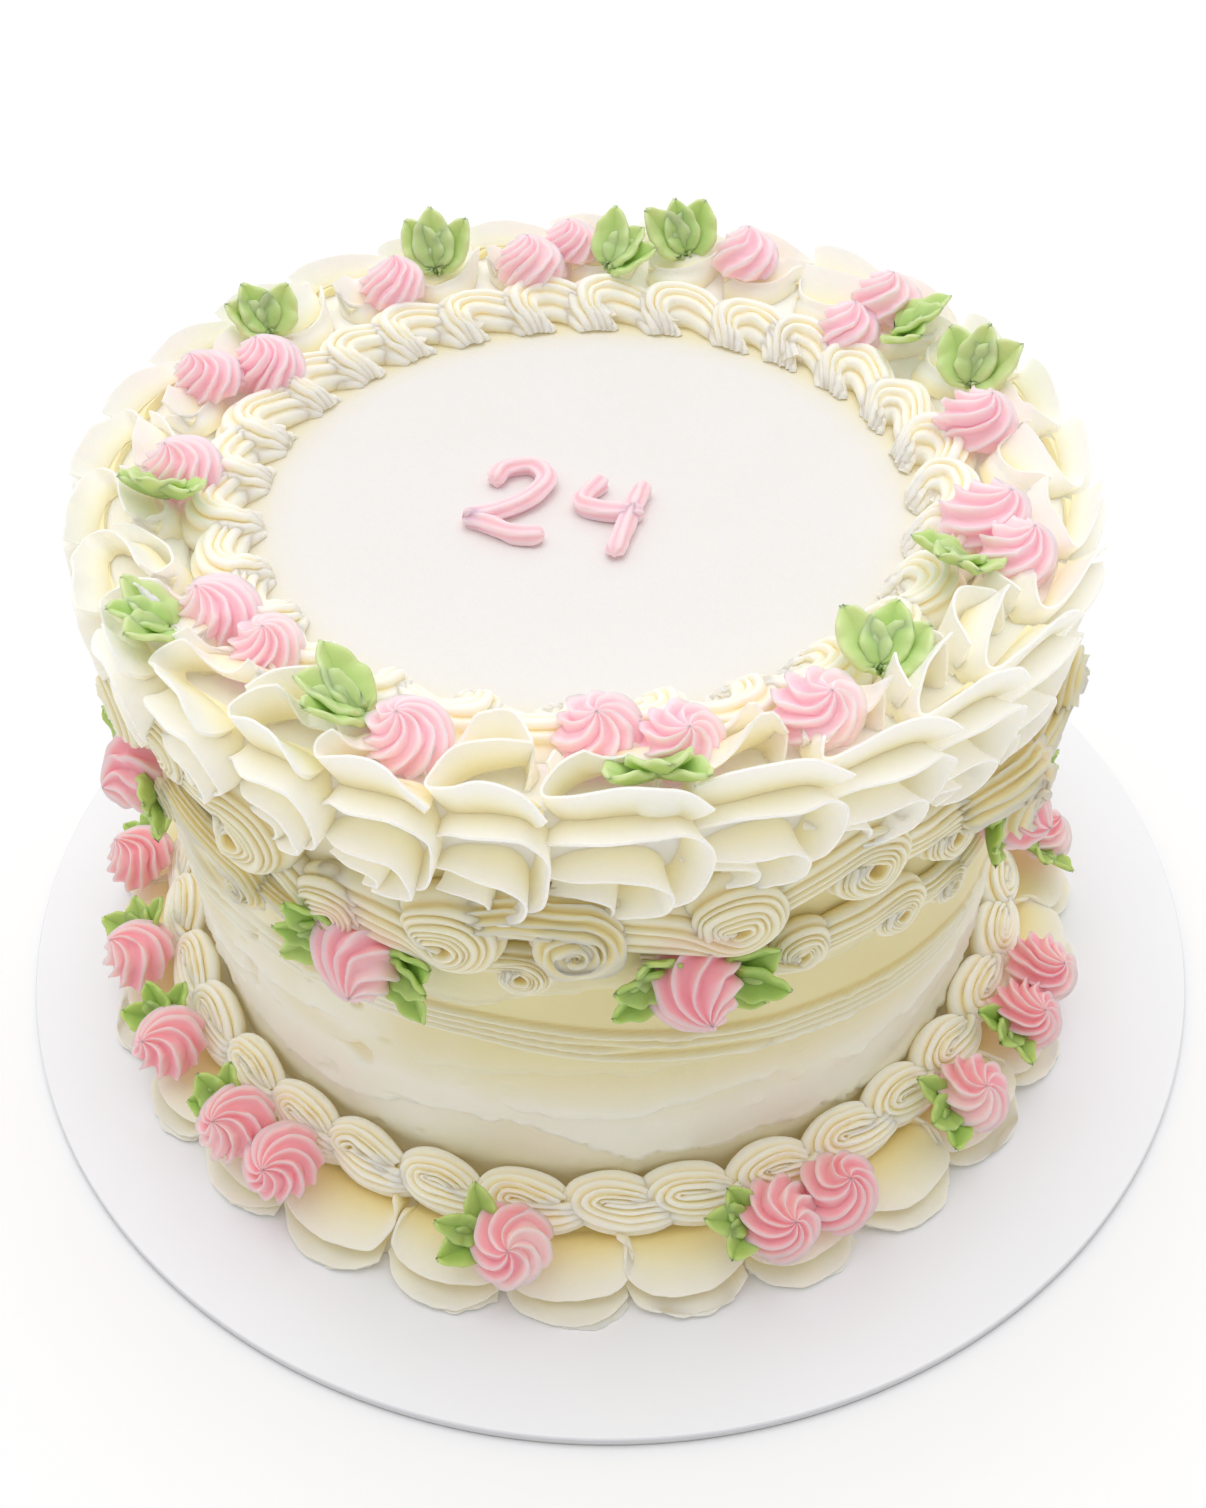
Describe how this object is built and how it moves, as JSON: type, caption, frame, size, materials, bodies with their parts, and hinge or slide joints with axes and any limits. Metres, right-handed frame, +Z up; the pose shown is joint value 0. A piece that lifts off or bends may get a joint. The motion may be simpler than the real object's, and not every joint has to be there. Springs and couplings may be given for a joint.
{
  "type": "birthday cake on a cake board",
  "caption": "Round iced birthday cake on a flat white board, with piped cream ruffles and shells, pink rosettes, green leaves and piped numerals.",
  "frame": {"origin": "centre of the cake board's underside", "axes": "+Z up through the cake, -Y towards the side the numerals on top are read from, +X to the reader's right"},
  "size_m": [0.3048, 0.3048, 0.1495],
  "materials": {
    "board": "smooth white laminated card",
    "icing": "smooth ivory buttercream, faintly glossy",
    "piping": "piped ivory buttercream, satin",
    "rosette_pink": "piped pink buttercream, satin",
    "leaf_green": "piped green buttercream, satin"
  },
  "bodies": {
    "root": {"cake_board": "board", "iced_cake": "icing", "top_shell_border": "piping", "top_ruffle": "piping", "upper_scroll_garland": "piping", "lower_scroll_garland": "piping", "base_shell_border": "piping", "base_ruffle": "piping", "digit_two": "rosette_pink", "digit_four": "rosette_pink", "top_rosette_01": "rosette_pink", "top_rosette_02": "rosette_pink", "top_rosette_03": "rosette_pink", "top_rosette_04": "rosette_pink", "top_rosette_05": "rosette_pink", "top_rosette_06": "rosette_pink", "top_rosette_07": "rosette_pink", "top_rosette_08": "rosette_pink", "top_rosette_09": "rosette_pink", "top_rosette_10": "rosette_pink", "top_rosette_11": "rosette_pink", "top_rosette_12": "rosette_pink", "top_leaf_01": "leaf_green", "top_leaf_02": "leaf_green", "top_leaf_03": "leaf_green", "top_leaf_04": "leaf_green", "top_leaf_05": "leaf_green", "top_leaf_06": "leaf_green", "top_leaf_07": "leaf_green", "top_leaf_08": "leaf_green", "top_leaf_09": "leaf_green", "top_leaf_10": "leaf_green", "top_leaf_11": "leaf_green", "top_leaf_12": "leaf_green", "side_flower_01": "rosette_pink", "side_flower_02": "rosette_pink", "side_flower_03": "rosette_pink", "side_flower_04": "rosette_pink", "side_flower_05": "rosette_pink", "side_flower_06": "rosette_pink", "side_flower_07": "rosette_pink", "side_flower_08": "rosette_pink", "side_flower_09": "rosette_pink", "base_flower_01": "rosette_pink", "base_flower_02": "rosette_pink", "base_flower_03": "rosette_pink", "base_flower_04": "rosette_pink", "base_flower_05": "rosette_pink", "base_flower_06": "rosette_pink", "base_flower_07": "rosette_pink", "base_flower_08": "rosette_pink", "base_flower_09": "rosette_pink", "base_flower_10": "rosette_pink", "base_flower_11": "rosette_pink", "base_flower_12": "rosette_pink", "base_flower_13": "rosette_pink", "base_flower_14": "rosette_pink", "base_flower_15": "rosette_pink"}
  },
  "joints": []
}
